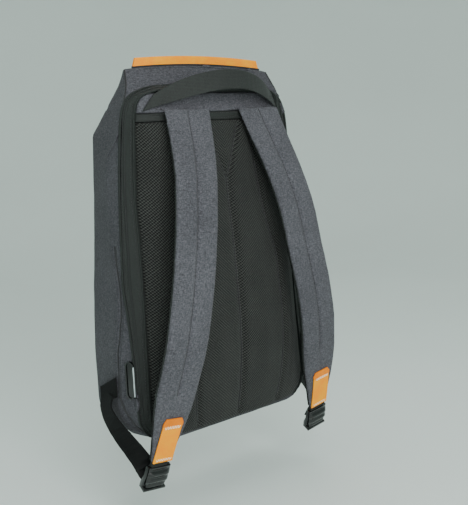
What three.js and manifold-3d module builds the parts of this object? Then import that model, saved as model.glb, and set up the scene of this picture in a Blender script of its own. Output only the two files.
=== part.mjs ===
// Anti-theft backpack with a padded mesh back, a zip round the back opening and two shoulder straps.
//
// Millimetres, +Z up, +Y towards the bag's front, +X to the right of someone who looks at its back.
// Everything is drawn from the bottom of the back and then moved, so that the origin lies in the
// middle of the grab handle, where the bag hangs when it is carried.
import * as THREE from 'three';
import { mergeVertices } from 'three/addons/utils/BufferGeometryUtils.js';
import Module from 'manifold-3d';

const wasm = await Module();
wasm.setup();

// Driving dimensions of the bag's body
const bagHeight = 444; // bottom to the top ridge
const bagHalfWidth = 143; // middle to the zip's outer seam
const bagDepth = 108; // back datum to the front, at the bottom
const shoulderDepth = 103.5; // back datum to the front, where the slope starts
const shoulderHalfWidth = 129;
const slopeHeight = 75; // the shoulders to the ridge
const ridgeHalfWidth = 113;
const ridgeThickness = 5;
const ridgeCrown = 5.5; // how much higher the ridge stands in its middle
const flapFootHalf = 136; // where the line of the flap's side edge meets the shoulders' height
const ridgeSetback = 42; // how far the ridge lies in front of the back datum
const frontCorner = 12; // radius of the front's upright edges
const frontCrown = 7; // how far the front swells in its middle
const bottomCorner = 38; // radius of the bottom's side corners
const bottomFrontCorner = 22; // radius of the bottom's front edge
const bottomRim = 4; // height of the fabric rim under the panel
const wall = 3;
const gap = 0.3;
const shellStep = 45; // tallest row of faces on the body

// Driving dimensions of the back: zip, yoke and mesh
const flapHeight = 26; // top of the zip band's inner edge to the ridge
const zipRise = 6.5; // how much higher its outer edge lies
const yokeHeight = 23.5;
const bindingHeight = 10;
const panelThickness = 10;
const panelStep = 30; // tallest row of faces on the panel
const panelCrown = 35; // how far the mesh stands out in its middle
const panelFullness = 5; // higher is flatter in the middle and rounder at the sides
const channelDepth = 4;
const channelHalfWidth = 6;
const channelSpread = 75; // middle to a side channel
const vHalfWidth = 28; // the V pad at the mesh's top edge
const vHeight = 69;
const sliderLength = 24;
const sliderWidth = 9;
const sliderThickness = 4;
const sliderHeight = 72;

// Driving dimensions of the trim, handle and straps
const trimHeight = 10.5;
const trimHalfLength = 101;
const trimThickness = 3;
const trimEndSlant = 4;
const webbingWidth = 25;
const webbingThickness = 2;
const anchorHeight = 70; // middle of the lower webbing's sewn end
const webbingLead = 21; // the last bend of the lower webbing above the lowest bar of its buckle
const anchorDrop = 16; // how far it comes down on its way to the fold
const handleHalfSpan = 102;
const handleStandOff = 35.4;
const handleRise = 25;
const yokeRelief = 2.6; // how far the sewn ends clear the yoke's curve
const handleEndDrop = 15; // how far below the arch's top the ends are sewn
const strapWidth = 60;
const strapSeam = 4; // how far the strap's sewn end reaches over the yoke
const strapDrop = 408;
const strapTopSpread = 57;
const strapSpread = 78; // how much further out the strap's tip lies than its top
const strapStandOff = 47;
const strapFaceThickness = 6;
const strapLiningThickness = 5.5;
const tabLength = 54;
const tabWidth = 29;
const tabThickness = 1.8;
const lockWidth = 33;
const lockHeight = 24;
const railWidth = 3.5;
const railDepth = 5;
const barRadius = 2.2;
const lipReach = 5; // the lip that is lifted to free the webbing
const lipThickness = 2;
const portHeight = 46;
const portWidth = 12;
const portRim = 1.6;
const portDepth = 3.2;
const coverDepth = 2.2;
const portBottom = 58;

const materials = {
  fabric: { color: 0x4d4d54, roughness: 0.95, metalness: 0 },
  mesh: { color: 0x1d1f1e, roughness: 0.95, metalness: 0 },
  webbing: { color: 0x2b2d2b, roughness: 0.8, metalness: 0 },
  leather: { color: 0xe8963a, roughness: 0.5, metalness: 0 },
  plastic: { color: 0x161717, roughness: 0.35, metalness: 0 },
};

// Body sections from the bottom to the shoulders. up is a share of bagHeight, the half widths are
// shares of bagHalfWidth and the depths of bagDepth. back is the zip's inner edge, seam its outer
// edge, crease the fold of the side gusset and front the corner of the front.
const bodySections = [
  { up: 0, back: 0.916, backY: 0.03, seam: 0.99, seamY: 0.13, crease: 1.045, creaseY: 0.385, front: 0.985, frontY: 1 },
  { up: 0.09, back: 0.916, backY: 0.055, seam: 0.995, seamY: 0.13, crease: 1.056, creaseY: 0.385, front: 1, frontY: 1.015 },
  { up: 0.245, back: 0.893, backY: 0.102, seam: 1, seamY: 0.155, crease: 1.056, creaseY: 0.385, front: 0.998, frontY: 1.015 },
  { up: 0.3, back: 0.887, backY: 0.116, seam: 1, seamY: 0.178, crease: 1.046, creaseY: 0.36, front: 0.99, frontY: 1.01 },
  { up: 0.37, back: 0.88, backY: 0.128, seam: 1, seamY: 0.215, crease: 1.03, creaseY: 0.34, front: 0.978, frontY: 1.005 },
  { up: 0.43, back: 0.875, backY: 0.137, seam: 1, seamY: 0.262, crease: 1.018, creaseY: 0.35, front: 0.967, frontY: 1 },
  { up: 0.54, back: 0.868, backY: 0.162, seam: 0.992, seamY: 0.262, crease: 1, creaseY: 0.42, front: 0.945, frontY: 0.99 },
  { up: 0.65, back: 0.864, backY: 0.198, seam: 0.982, seamY: 0.26, crease: 0.985, creaseY: 0.48, front: 0.928, frontY: 0.975 },
  { up: 0.765, back: 0.839, backY: 0.209, seam: 0.96, seamY: 0.255, crease: 0.965, creaseY: 0.5, front: 0.912, frontY: 0.965 },
];

// The zip's arch above the shoulders. inner and outer are the half widths of its edges as shares
// of bagHalfWidth, innerY and outerY their depths as shares of bagDepth, and rise is a share of the
// way from the shoulder to the arch's top.
const archRows = [
  { rise: 0, inner: 0.827, innerY: 0.218, outer: 0.942, outerY: 0.25 },
  { rise: 0.37, inner: 0.816, innerY: 0.22, outer: 0.9245, outerY: 0.252 },
  { rise: 0.67, inner: 0.797, innerY: 0.205, outer: 0.888, outerY: 0.256 },
  { rise: 0.8, inner: 0.775, innerY: 0.185, outer: 0.857, outerY: 0.258 },
  { rise: 0.9, inner: 0.735, innerY: 0.16, outer: 0.811, outerY: 0.26 },
  { rise: 0.96, inner: 0.665, innerY: 0.132, outer: 0.762, outerY: 0.26 },
  { rise: 1, inner: 0.59, innerY: 0.111, outer: 0.727, outerY: 0.26 },
];

// Shoulder strap from its top seam to its tip: down is a share of strapDrop, aside of strapSpread,
// out of strapStandOff, and width of strapWidth.
const strapRows = [
  { down: 0, aside: 0, out: 0, width: 1.13, thick: 0.62 },
  { down: 0.062, aside: 0.05, out: 0.22, width: 1.08, thick: 0.86 },
  { down: 0.125, aside: 0.115, out: 0.45, width: 1.03, thick: 1 },
  { down: 0.187, aside: 0.18, out: 0.64, width: 1, thick: 1 },
  { down: 0.31, aside: 0.32, out: 0.87, width: 1, thick: 1 },
  { down: 0.433, aside: 0.43, out: 0.95, width: 1, thick: 1 },
  { down: 0.556, aside: 0.565, out: 1, width: 1, thick: 1 },
  { down: 0.678, aside: 0.69, out: 0.95, width: 1, thick: 1 },
  { down: 0.8, aside: 0.82, out: 0.745, width: 0.98, thick: 1 },
  { down: 0.87, aside: 0.88, out: 0.61, width: 0.88, thick: 0.95 },
  { down: 0.93, aside: 0.94, out: 0.46, width: 0.7, thick: 0.8 },
  { down: 1, aside: 1, out: 0.27, width: 0.5, thick: 0.6 },
];

// Grab handle from its left end to its middle: along is a share of handleHalfSpan, out of
// handleStandOff, rise of handleRise, lean and tip are the width's slants to the side and to the
// front, and wide is a share of webbingWidth.
const handleRows = [
  { along: -1, out: 0, rise: 0, lean: 0.7, tip: -0.3, wide: 1.04 },
  { along: -0.9, out: 0.14, rise: 0.2, lean: 0.6, tip: -0.2, wide: 1.04 },
  { along: -0.72, out: 0.44, rise: 0.48, lean: 0.36, tip: 0, wide: 1.04 },
  { along: -0.48, out: 0.74, rise: 0.76, lean: 0.16, tip: 0.15, wide: 1 },
  { along: -0.22, out: 0.95, rise: 0.95, lean: 0.05, tip: 0.3, wide: 1 },
  { along: 0, out: 1, rise: 1, lean: 0, tip: 0.35, wide: 1 },
];

const shoulderHeight = bagHeight - slopeHeight;
const archHeight = bagHeight - flapHeight;
const panelTop = archHeight - wall - gap;
const bindingTop = archHeight - wall - yokeHeight;
const meshTop = bindingTop - bindingHeight;
const arch = archHeight - shoulderHeight;

// Joins two rows of a table at a share t of the way
function mixRow(a, b, t) {
  const row = {};
  for (const key of Object.keys(a)) row[key] = a[key] + (b[key] - a[key]) * t;
  return row;
}

// Reads a table whose rows rise in one column
function rowAt(table, column, value) {
  const last = table.length - 1;
  if (value <= table[0][column]) return { ...table[0] };
  if (value >= table[last][column]) return { ...table[last] };
  const i = table.findIndex((row) => row[column] > value) - 1;
  const t = (value - table[i][column]) / (table[i + 1][column] - table[i][column]);
  return mixRow(table[i], table[i + 1], t);
}

// How far a round edge of radius r draws back at a height above the edge's lowest line
function cornerPull(r, height) {
  if (height >= r) return 0;
  return r - Math.sqrt(r * r - (r - height) * (r - height));
}

// The slope from the shoulders to the ridge. The flap's side edge runs straight from the ridge's
// corner towards the shoulder, just outside the zip's seam.
function slopeAt(z, seam, seamY) {
  const share = (z - shoulderHeight) / (bagHeight - shoulderHeight);
  const edge = flapFootHalf + (ridgeHalfWidth - flapFootHalf) * share;
  const leanShare = Math.max(0, z - archHeight) / (bagHeight - archHeight);
  return {
    front: shoulderHalfWidth + (ridgeHalfWidth - shoulderHalfWidth) * share,
    frontY: shoulderDepth + (ridgeSetback + ridgeThickness / 2 - shoulderDepth) * share,
    crease: Math.max(edge, seam + gap),
    creaseY: seamY + gap + (ridgeSetback - ridgeThickness / 4 - seamY) * leanShare,
  };
}

// The body's outline at each height, in millimetres
const archTop = archRows.at(-1);
const bodyTable = [
  ...bodySections.map((row) => ({
    z: row.up * bagHeight,
    back: row.back * bagHalfWidth,
    backY: row.backY * bagDepth,
    seam: row.seam * bagHalfWidth,
    seamY: row.seamY * bagDepth,
    crease: row.crease * bagHalfWidth,
    creaseY: row.creaseY * bagDepth,
    front: row.front * bagHalfWidth,
    frontY: row.frontY * bagDepth,
  })),
  ...archRows.map((row) => ({
    z: shoulderHeight + row.rise * arch,
    back: row.inner * bagHalfWidth,
    backY: row.innerY * bagDepth,
    seam: row.outer * bagHalfWidth,
    seamY: row.outerY * bagDepth,
    ...slopeAt(shoulderHeight + row.rise * arch, row.outer * bagHalfWidth, row.outerY * bagDepth),
  })),
];
const flapFoot = {
  z: archHeight + zipRise,
  back: 0.92 * archTop.inner * bagHalfWidth,
  backY: archTop.outerY * bagDepth,
  seam: 0.8 * archTop.outer * bagHalfWidth,
  seamY: archTop.outerY * bagDepth + gap,
  ...slopeAt(archHeight + zipRise, 0, archTop.outerY * bagDepth + gap),
};
const ridge = {
  z: bagHeight,
  back: 0.7 * ridgeHalfWidth,
  backY: ridgeSetback - ridgeThickness / 2,
  seam: 0.9 * ridgeHalfWidth,
  seamY: ridgeSetback - ridgeThickness / 2,
  ...slopeAt(bagHeight, 0, ridgeSetback - ridgeThickness / 2),
};
bodyTable.push(mixRow(bodyTable.at(-1), flapFoot, 0.5), flapFoot, mixRow(flapFoot, ridge, 0.5), ridge);

function bodyRow(z) {
  const row = rowAt(bodyTable, 'z', z);
  const side = cornerPull(bottomCorner, z);
  for (const key of ['back', 'seam', 'crease', 'front']) row[key] -= side;
  row.frontY -= cornerPull(bottomFrontCorner, z);
  row.z = z;
  return row;
}

// Right half of a section from the middle of the back to the middle of the front
function bodyOutline(row) {
  const soft = Math.min(frontCorner, (row.frontY - row.creaseY) / 2);
  const crown = frontCrown * Math.min(1, (row.frontY - row.backY) / bagDepth);
  const half = [
    [row.back * 0.5, row.backY],
    [row.back, row.backY],
    [row.seam, row.seamY],
    [row.crease, row.creaseY],
    [(row.crease + row.front) / 2, (row.creaseY + row.frontY - soft) / 2],
    [row.front, row.frontY - soft],
    [row.front - 0.3 * soft, row.frontY - 0.3 * soft],
    [row.front - soft, row.frontY],
    [row.front * 0.5, row.frontY + crown * 0.75],
  ];
  const left = half.map(([x, y]) => [-x, y]).reverse();
  return [[0, row.backY], ...half, [0, row.frontY + crown], ...left];
}

// Moves a closed outline inwards by a distance, corner by corner
function insetOutline(points, distance) {
  const count = points.length;
  return points.map((point, i) => {
    const before = points[(i + count - 1) % count];
    const after = points[(i + 1) % count];
    const a = new THREE.Vector2(point[0] - before[0], point[1] - before[1]).normalize();
    const b = new THREE.Vector2(after[0] - point[0], after[1] - point[1]).normalize();
    const inward = new THREE.Vector2(-a.y - b.y, a.x + b.x).normalize();
    const reach = distance / Math.max(0.5, inward.dot(new THREE.Vector2(-a.y, a.x)));
    return [point[0] + inward.x * reach, point[1] + inward.y * reach];
  });
}

// Skins a list of closed rings, with a fan over each end
function loft(rings) {
  const count = rings[0].length;
  const positions = rings.flat().flatMap((p) => [p.x, p.y, p.z]);
  const faces = [];
  for (let r = 0; r < rings.length - 1; r += 1) {
    for (let i = 0; i < count; i += 1) {
      const a = r * count + i;
      const b = r * count + ((i + 1) % count);
      faces.push(a, b, b + count, a, b + count, a + count);
    }
  }
  for (const [ring, first, flip] of [[rings[0], 0, true], [rings.at(-1), (rings.length - 1) * count, false]]) {
    const centre = ring.reduce((sum, p) => sum.add(p), new THREE.Vector3()).divideScalar(count);
    const hub = positions.length / 3;
    positions.push(centre.x, centre.y, centre.z);
    for (let i = 0; i < count; i += 1) {
      const a = first + i;
      const b = first + ((i + 1) % count);
      if (flip) faces.push(hub, b, a);
      else faces.push(hub, a, b);
    }
  }
  const geometry = new THREE.BufferGeometry();
  geometry.setAttribute('position', new THREE.Float32BufferAttribute(positions, 3));
  geometry.setIndex(faces);
  return geometry;
}

// Keeps the positions alone and joins the vertices that meet
function welded(geometry) {
  const bare = geometry.clone();
  for (const name of Object.keys(bare.attributes)) if (name !== 'position') bare.deleteAttribute(name);
  return mergeVertices(bare, 1e-4);
}

function solid(geometry) {
  const closed = welded(geometry);
  return new wasm.Manifold(new wasm.Mesh({
    numProp: 3,
    vertProperties: new Float32Array(closed.attributes.position.array),
    triVerts: new Uint32Array(closed.index.array),
  }));
}

function geometryOf(body) {
  const mesh = body.getMesh();
  const geometry = new THREE.BufferGeometry();
  geometry.setAttribute('position', new THREE.Float32BufferAttribute(mesh.vertProperties, 3));
  geometry.setIndex([...mesh.triVerts]);
  return geometry;
}

// How much higher a point near the ridge lies for the ridge's crown
function crownLift(x, z) {
  const share = Math.max(0, z - flapFoot.z) / (bagHeight - flapFoot.z);
  return ridgeCrown * share * (1 - (x / ridgeHalfWidth) ** 2);
}

function ringAt(outline, z) {
  return outline.map(([x, y]) => new THREE.Vector3(x, y, z + crownLift(x, z)));
}

// A flat outline in (Y, Z) drawn out along X, or in (X, Z) along Y
function prismAlongX(points, from, to) {
  return prism(points, (y, z, x) => new THREE.Vector3(x, y, z), from, to);
}

function prismAlongY(points, from, to) {
  return prism(points, (x, z, y) => new THREE.Vector3(x, y, z), from, to);
}

function prism(points, place, from, to) {
  const contour = points.map(([a, b]) => new THREE.Vector2(a, b));
  if (THREE.ShapeUtils.isClockWise(contour)) contour.reverse();
  const caps = THREE.ShapeUtils.triangulateShape(contour, []);
  const count = contour.length;
  const positions = [from, to].flatMap((w) => contour.flatMap((p) => place(p.x, p.y, w).toArray()));
  const faces = [];
  for (const [a, b, c] of caps) faces.push(a, c, b, a + count, b + count, c + count);
  for (let i = 0; i < count; i += 1) {
    const j = (i + 1) % count;
    faces.push(i, j, j + count, i, j + count, i + count);
  }
  const geometry = new THREE.BufferGeometry();
  geometry.setAttribute('position', new THREE.Float32BufferAttribute(positions, 3));
  geometry.setIndex(faces);
  return outward(geometry);
}

// Turns a closed mesh right side out if its volume comes out negative
function outward(source) {
  const geometry = welded(source);
  const p = geometry.attributes.position;
  const index = [...geometry.index.array];
  const corner = (i) => new THREE.Vector3().fromBufferAttribute(p, index[i]);
  let volume = 0;
  for (let i = 0; i < index.length; i += 3) volume += corner(i).dot(corner(i + 1).cross(corner(i + 2)));
  if (volume < 0) for (let i = 0; i < index.length; i += 3) [index[i], index[i + 1]] = [index[i + 1], index[i]];
  geometry.setIndex(index);
  return geometry;
}

// Puts one more height in each stretch that is longer than a step
function filled(heights, step) {
  return heights.flatMap((z, i) => (heights[i + 1] - z > step ? [z, (z + heights[i + 1]) / 2] : [z]));
}

// Body: heights of the sections, thick enough in the round corners
const roundSteps = [0, 0.06, 0.18, 0.36, 0.62];
const bodyHeights = filled([
  ...roundSteps.map((share) => share * bottomCorner),
  bottomCorner,
  ...bodyTable.map((row) => row.z).filter((z) => z > bottomCorner + 2),
], shellStep);

function outerBody() {
  return solid(outward(loft(bodyHeights.map((z) => ringAt(bodyOutline(bodyRow(z)), z)))));
}

// The hollow follows the outside, a wall's thickness in from it all round
function innerBody() {
  const ridgeSeam = 2 * wall;
  const rows = [...bodyHeights.filter((z) => z < bagHeight - ridgeSeam), bagHeight - ridgeSeam];
  const rings = rows.map((z) => {
    const lift = z < bagHeight / 2 ? wall : -wall;
    const share = Math.min(1, Math.abs(z - bagHeight / 2) / (bagHeight * 0.35));
    return ringAt(insetOutline(bodyOutline(bodyRow(z)), wall), z + lift * share);
  });
  return solid(outward(loft(rings)));
}

// The region behind the zip's outer seam, as a side view drawn across the whole bag
function backRegion(clearance) {
  const far = bagDepth;
  const floor = bottomRim + clearance;
  const seam = bodyTable.filter((row) => row.z > floor + 2 && row.z < flapFoot.z - 1);
  const line = [floor, ...seam.map((row) => row.z)].map((z) => [bodyRow(z).seamY - clearance, z]);
  const top = flapFoot.z - clearance;
  const points = [[-far, floor], ...line, [flapFoot.backY - clearance, top], [-far, top]];
  return solid(prismAlongX(points, -2 * bagHalfWidth, 2 * bagHalfWidth));
}

// Half width of the panel's opening at a height
function openingHalf(z) {
  return bodyRow(z).back - wall;
}

const openingHeights = [
  bottomRim,
  ...bodyHeights.filter((z) => z > bottomRim + 1 && z < archHeight - wall - 1),
  archHeight - wall,
];

// The panel's opening through the zip band
function openingRegion() {
  const right = openingHeights.map((z) => [openingHalf(z), z]);
  const left = right.map(([x, z]) => [-x, z]).reverse();
  right[0] = [right[0][0], bottomRim - wall];
  left[left.length - 1] = [-right[0][0], bottomRim - wall];
  return solid(prismAlongY([...right, ...left], -bagDepth, bagDepth / 2));
}

function bodyShell(skin) {
  return geometryOf(skin.subtract(backRegion(0)));
}

function zipBand(skin) {
  return geometryOf(skin.intersect(backRegion(gap)).subtract(openingRegion()));
}

// Back panel: columns follow the V pad, the channels and the edge
const crownRows = [
  { up: 0, crown: 0.26 },
  { up: 0.1, crown: 0.6 },
  { up: 0.22, crown: 0.89 },
  { up: 0.36, crown: 1 },
  { up: 0.5, crown: 0.95 },
  { up: 0.63, crown: 0.92 },
  { up: 0.76, crown: 0.85 },
  { up: 0.9, crown: 0.74 },
  { up: 1, crown: 0.6 },
];
const channelRows = [
  { up: 0, out: 0.88 },
  { up: 0.1, out: 0.95 },
  { up: 0.27, out: 1 },
  { up: 0.43, out: 0.98 },
  { up: 0.55, out: 0.94 },
  { up: 0.66, out: 0.8 },
  { up: 0.8, out: 0.66 },
  { up: 1, out: 0.56 },
];
const yokeCrown = 0.56; // crown of the yoke's lower edge, as a share of panelCrown
const yokeTopCrown = 0.05;

function crownAt(z) {
  if (z <= meshTop) return panelCrown * rowAt(crownRows, 'up', (z - bottomRim) / (meshTop - bottomRim)).crown;
  const share = Math.max(0, z - bindingTop) / yokeHeight;
  return panelCrown * (yokeCrown + (yokeTopCrown - yokeCrown) * share);
}

// Depth of the panel's smooth outer surface
function panelDepth(x, z) {
  const half = openingHalf(z) - gap;
  const full = 1 - Math.min(1, Math.abs(x) / half) ** panelFullness;
  return bodyRow(z).backY - crownAt(z) * full;
}

function panelSurface(z) {
  const half = openingHalf(z) - gap;
  const channel = channelSpread * rowAt(channelRows, 'up', (z - bottomRim) / (meshTop - bottomRim)).out;
  const vFoot = meshTop - vHeight;
  const vee = Math.max(2, vHalfWidth * (z - vFoot) / vHeight);
  const dip = z > meshTop ? 0 : channelDepth * Math.min(1, crownAt(z) / panelCrown + 0.1);
  const columns = [
    [0, z > vFoot ? dip * 0.5 : dip],
    [vee, dip],
    [vee + channelHalfWidth, 0],
    [(vee + channel) / 2, -dip * 0.4],
    [channel - channelHalfWidth, 0],
    [channel, dip * 0.7],
    [channel + channelHalfWidth, 0],
    [channel + (half - channel) * 0.4, -dip * 0.2],
    [channel + (half - channel) * 0.7, 0],
    [half - (half - channel) * 0.12, 0],
    [half, 0],
  ];
  const right = columns.map(([x, low]) => ({ x, outer: panelDepth(x, z) + low, inner: panelDepth(x, z) + panelThickness }));
  const left = right.slice(1).map((point) => ({ ...point, x: -point.x })).reverse();
  return [...left, ...right];
}

// One slab of the panel between two heights
function panelSlab(from, to) {
  const heights = filled([from, ...openingHeights.filter((z) => z > from + 1.5 && z < to - 1.5), to], panelStep);
  const rings = heights.map((z) => {
    const points = panelSurface(z);
    const inside = points.map((point) => new THREE.Vector3(point.x, point.inner, z)).reverse();
    return [...points.map((point) => new THREE.Vector3(point.x, point.outer, z)), ...inside];
  });
  return outward(stripLoft(rings));
}

// Skins rings that run along one side and come back on the other, so that the ends are strips
function stripLoft(rings) {
  const count = rings[0].length;
  const positions = rings.flat().flatMap((p) => [p.x, p.y, p.z]);
  const faces = [];
  for (let r = 0; r < rings.length - 1; r += 1) {
    for (let i = 0; i < count; i += 1) {
      const a = r * count + i;
      const b = r * count + ((i + 1) % count);
      faces.push(a, b, b + count, a, b + count, a + count);
    }
  }
  for (const [first, flip] of [[0, true], [(rings.length - 1) * count, false]]) {
    for (let i = 0; i < count / 2 - 1; i += 1) {
      const [a, b, c, d] = [first + i, first + i + 1, first + count - 2 - i, first + count - 1 - i];
      if (flip) faces.push(a, c, b, a, d, c);
      else faces.push(a, b, c, a, c, d);
    }
  }
  const geometry = new THREE.BufferGeometry();
  geometry.setAttribute('position', new THREE.Float32BufferAttribute(positions, 3));
  geometry.setIndex(faces);
  return geometry;
}

// Leather strip along the crowned ridge, its ends cut at a slant
const trimColumns = 12;

function topTrim() {
  const places = Array.from({ length: trimColumns + 1 }, (_, i) => -1 + 2 * i / trimColumns);
  const edge = (half, lift) => places.map((place) => {
    const x = place * half;
    return [x, bagHeight + crownLift(x, bagHeight) + lift];
  });
  const low = edge(trimHalfLength, 2 * gap);
  const high = edge(trimHalfLength - trimEndSlant, 2 * gap + trimHeight);
  return prismAlongY([...low, ...high.reverse()], ridgeSetback - trimThickness / 2, ridgeSetback + trimThickness / 2);
}

// A flat band swept through rows of { centre, across, out, half, thick }, where profile gives the
// section as [share of the half width, share of the thickness] pairs of an outer and an inner side
function band(rows, profile) {
  const rings = rows.map((row) => profile.map(([u, v]) => row.centre.clone()
    .addScaledVector(row.across, u * row.half)
    .addScaledVector(row.out, v * row.thick)));
  return outward(stripLoft(rings));
}

const flatProfile = [[-1, 1], [1, 1], [1, 0], [-1, 0]];

// Grab handle: webbing on edge, its ends laid on the yoke
const handleEndHeight = archHeight - handleEndDrop;
const handleSeat = panelDepth(handleHalfSpan, handleEndHeight) - yokeRelief;

function handle() {
  const mirrored = handleRows.slice(0, -1).reverse().map((row) => ({ ...row, along: -row.along, lean: -row.lean }));
  const table = [...handleRows, ...mirrored];
  const place = (row) => new THREE.Vector3(
    row.along * handleHalfSpan,
    handleSeat - row.out * handleStandOff,
    handleEndHeight + row.rise * handleRise,
  );
  const curve = new THREE.CatmullRomCurve3(table.map(place), false, 'centripetal');
  const steps = 3 * (table.length - 1);
  const rows = Array.from({ length: steps + 1 }, (_, i) => {
    const at = i / 3;
    const k = Math.min(table.length - 2, Math.floor(at));
    const row = mixRow(table[k], table[k + 1], at - k);
    return {
      centre: curve.getPoint(i / steps),
      across: new THREE.Vector3(row.lean, row.tip, 1).normalize(),
      out: new THREE.Vector3(0, -1, row.tip).normalize(),
      half: webbingWidth / 2 * row.wide,
      thick: webbingThickness,
    };
  });
  return band(rows, flatProfile);
}

// The straps' sewn ends lie on the yoke, and their faces start a strap's thickness behind it
const yokeSurface = panelDepth(strapTopSpread - strapWidth / 2, bindingTop);
const strapTopThickness = (strapFaceThickness + strapLiningThickness) * strapRows[0].thick;
const strapSeat = yokeSurface - strapTopThickness - 2 * gap;
const levelShare = 0.12; // share of the strap over which its cross-wise line turns from level

// Rows along a strap's outer face, on the side of the given sign
function strapPath(side, count, from = 0, to = 1) {
  const place = (row) => new THREE.Vector3(
    side * (strapTopSpread + row.aside * strapSpread),
    strapSeat - row.out * strapStandOff,
    bindingTop + strapSeam - row.down * strapDrop,
  );
  const curve = new THREE.CatmullRomCurve3(strapRows.map(place), false, 'centripetal');
  const rows = [];
  for (let i = 0; i < count; i += 1) {
    const down = from + (to - from) * (i / (count - 1));
    const k = Math.min(strapRows.length - 2, Math.max(0, strapRows.findIndex((row) => row.down > down) - 1));
    const last = down >= 1 ? strapRows.length - 2 : k;
    const local = (down - strapRows[last].down) / (strapRows[last + 1].down - strapRows[last].down);
    const t = (last + local) / (strapRows.length - 1);
    const tangent = curve.getTangent(t).negate();
    const turn = -tangent.x * Math.min(1, down / levelShare);
    const across = new THREE.Vector3(1, 0, 0).addScaledVector(tangent, turn).normalize();
    const out = across.clone().cross(tangent).normalize();
    if (out.y > 0) out.negate();
    const share = rowAt(strapRows, 'down', down);
    rows.push({ centre: curve.getPoint(t), across, out, half: strapWidth / 2 * share.width, share });
  }
  return rows;
}

const faceProfile = [
  [-1, -0.75], [-0.97, -0.3], [-0.86, -0.06], [-0.45, 0.02], [-0.07, -0.05], [0, -0.32], [0.07, -0.05],
  [0.45, 0.02], [0.86, -0.06], [0.97, -0.3], [1, -0.75],
  [1, -1], [0.97, -1], [0.86, -1], [0.45, -1], [0.07, -1], [0, -1], [-0.07, -1],
  [-0.45, -1], [-0.86, -1], [-0.97, -1], [-1, -1],
];
const liningProfile = [[-0.96, 0], [-0.5, 0], [0.5, 0], [0.96, 0], [0.9, -1], [0.5, -1], [-0.5, -1], [-0.9, -1]];

function strapFace(side) {
  const rows = strapPath(side, 21);
  for (const row of rows) row.thick = strapFaceThickness * row.share.thick;
  return band(rows, faceProfile);
}

function strapLining(side) {
  const rows = strapPath(side, 21);
  for (const row of rows) {
    row.thick = strapLiningThickness * row.share.thick;
    row.centre.addScaledVector(row.out, -strapFaceThickness * row.share.thick - gap);
  }
  return band(rows, liningProfile);
}

// Leather tab on the strap's face, its upper corners cut off
const tabRows = [
  { along: 0, wide: 0.78 },
  { along: 0.09, wide: 1 },
  { along: 0.5, wide: 1 },
  { along: 1, wide: 1 },
];

function strapTab(side) {
  const start = 1 - tabLength / strapDrop;
  const rows = tabRows.map(({ along, wide }) => {
    const [row] = strapPath(side, 2, start + (1 - start) * along, 1);
    row.centre.addScaledVector(row.out, 0.03 * strapFaceThickness + gap);
    row.half = tabWidth / 2 * wide;
    row.thick = tabThickness;
    return row;
  });
  return band(rows, flatProfile);
}

// Frame at a strap's tip: the buckle hangs on in the strap's own direction
function tipFrame(side) {
  const tip = strapPath(side, 21).at(-1);
  const down = tip.out.clone().cross(tip.across).normalize();
  if (down.z > 0) down.negate();
  const middle = tip.centre.clone().addScaledVector(tip.out, -strapFaceThickness * tip.share.thick);
  return { middle, down, across: tip.across.clone(), out: tip.out.clone() };
}

function toTip(geometry, side) {
  const { middle, down, across, out } = tipFrame(side);
  const matrix = new THREE.Matrix4().makeBasis(across, out.clone().negate(), down.clone().negate());
  matrix.setPosition(middle);
  return outward(geometry.applyMatrix4(matrix));
}

// Buckle bars below the strap's tip, in the tip's own frame: y forwards, z up
const loopStem = 5;
const topBar = { y: 0, z: -loopStem - barRadius - gap - webbingThickness };
const barPitch = (lockHeight - 2 * barRadius - 2) / 2;
const middleBar = { y: -0.5, z: topBar.z - barPitch };
const lowBar = { y: 2.5, z: topBar.z - 2 * barPitch };

function roundOutline(centre, radius, sides = 8) {
  return Array.from({ length: sides }, (_, i) => {
    const angle = (i + 0.5) * 2 * Math.PI / sides;
    return [centre.y + radius * Math.cos(angle), centre.z + radius * Math.sin(angle)];
  });
}

function ladderLock(side) {
  const inner = lockWidth / 2 - railWidth;
  const rail = [
    [topBar.y - railDepth / 2, topBar.z + barRadius],
    [topBar.y, topBar.z + barRadius + 1.5],
    [topBar.y + railDepth / 2, topBar.z + barRadius],
    [middleBar.y + railDepth / 2, middleBar.z],
    [lowBar.y + railDepth / 2, lowBar.z],
    [lowBar.y + railDepth / 2, lowBar.z - barRadius - 3 * webbingThickness],
    [lowBar.y - railDepth / 2, lowBar.z - barRadius - 3 * webbingThickness],
    [middleBar.y - railDepth / 2, middleBar.z],
  ];
  const lipFoot = lowBar.z - barRadius - gap - 2 * webbingThickness;
  const lipFront = lowBar.y - railDepth / 2 - lipReach;
  const lip = [
    [lowBar.y, lipFoot],
    [lowBar.y - railDepth / 2, lipFoot],
    [lipFront, lipFoot - lipReach / 2],
    [lipFront, lipFoot - lipReach / 2 - lipThickness],
    [lowBar.y, lipFoot - lipThickness],
  ];
  let lock = solid(prismAlongX(rail, inner, lockWidth / 2)).add(solid(prismAlongX(rail, -lockWidth / 2, -inner)));
  for (const bar of [topBar, middleBar, lowBar]) {
    lock = lock.add(solid(prismAlongX(roundOutline(bar, barRadius), -inner - 1, inner + 1)));
  }
  lock = lock.add(solid(prismAlongX(lip, -lockWidth / 2, lockWidth / 2)));
  return toTip(geometryOf(lock), side);
}

// Webbing eye round a bar, as a ring with a hole for the bar
function eye(bar, halfWidth) {
  const outer = solid(prismAlongX(roundOutline(bar, barRadius + gap + webbingThickness, 12), -halfWidth, halfWidth));
  const hole = solid(prismAlongX(roundOutline(bar, barRadius + gap, 12), -2 * halfWidth, 2 * halfWidth));
  return { outer, hole };
}

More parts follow.
